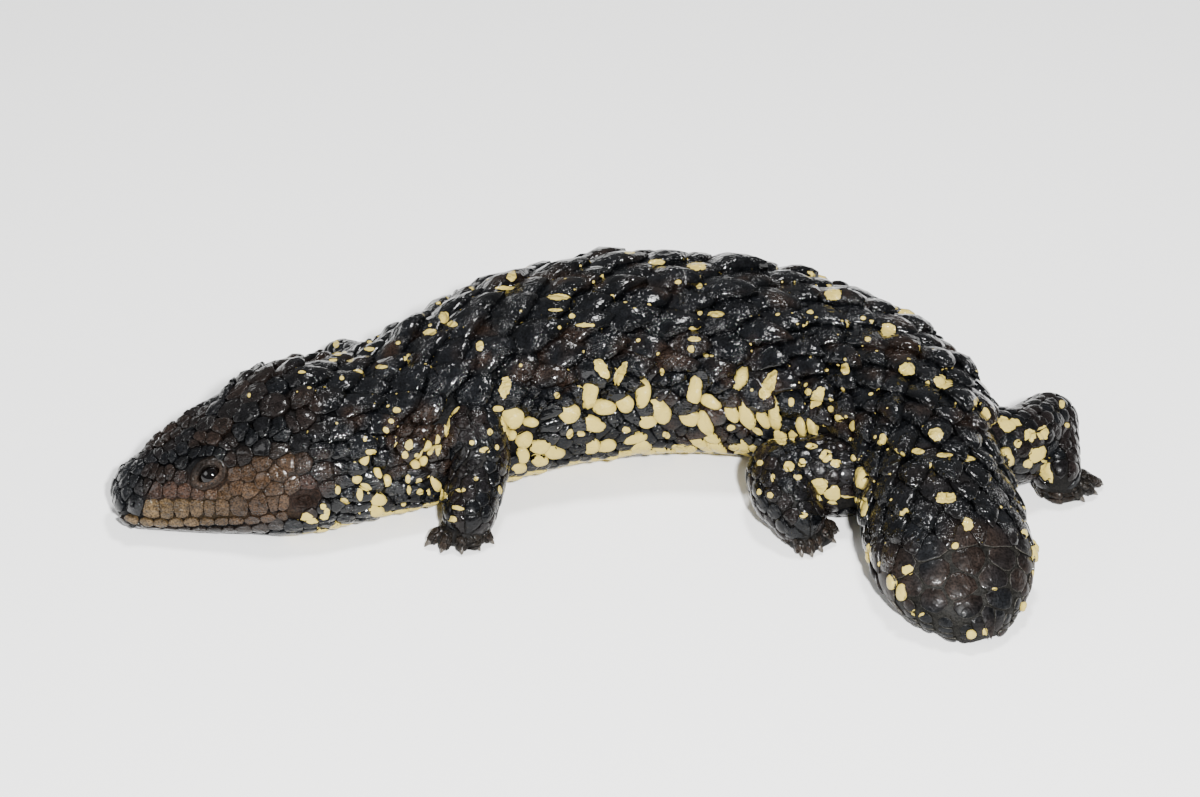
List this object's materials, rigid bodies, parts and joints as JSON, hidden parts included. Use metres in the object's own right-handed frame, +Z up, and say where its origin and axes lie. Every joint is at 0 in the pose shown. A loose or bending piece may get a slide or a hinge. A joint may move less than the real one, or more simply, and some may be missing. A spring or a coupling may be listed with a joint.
{
  "type": "shingleback lizard",
  "caption": "Still model of a shingleback lizard resting on its belly, body bent, short blunt tail swung forward, with raised overlapping scutes along the back.",
  "frame": {"origin": "on the floor under the middle of the whole animal's box", "axes": "+Z up; +X towards the animal's right in the picture's view, from the snout towards the bend of the hips, the longest extent; +Y away from the picture's camera"},
  "size_m": [0.3118, 0.1632, 0.052],
  "materials": {
    "hide": "glossy blue-black horny scales with brown patches and cream blotches along the flanks",
    "head_hide": "satin brown to black head shields with tan lips",
    "eye": "wet dark brown eyeball",
    "claw": "smooth grey horn"
  },
  "bodies": {
    "root": {"head": "head_hide", "lower_jaw": "head_hide", "eye_left": "eye", "eye_right": "eye", "neck": "hide", "torso_front": "hide", "torso_middle": "hide", "torso_rear": "hide", "tail_base": "hide", "tail_end": "hide", "foreleg_left": "hide", "foreleg_right": "hide", "hindleg_left": "hide", "hindleg_right": "hide", "forefoot_left": "hide", "forefoot_right": "hide", "hindfoot_left": "hide", "hindfoot_right": "hide", "claw_forefoot_left_1": "claw", "claw_forefoot_left_2": "claw", "claw_forefoot_left_3": "claw", "claw_forefoot_left_4": "claw", "claw_forefoot_left_5": "claw", "claw_forefoot_right_1": "claw", "claw_forefoot_right_2": "claw", "claw_forefoot_right_3": "claw", "claw_forefoot_right_4": "claw", "claw_forefoot_right_5": "claw", "claw_hindfoot_left_1": "claw", "claw_hindfoot_left_2": "claw", "claw_hindfoot_left_3": "claw", "claw_hindfoot_left_4": "claw", "claw_hindfoot_left_5": "claw", "claw_hindfoot_right_1": "claw", "claw_hindfoot_right_2": "claw", "claw_hindfoot_right_3": "claw", "claw_hindfoot_right_4": "claw", "claw_hindfoot_right_5": "claw"}
  },
  "joints": []
}
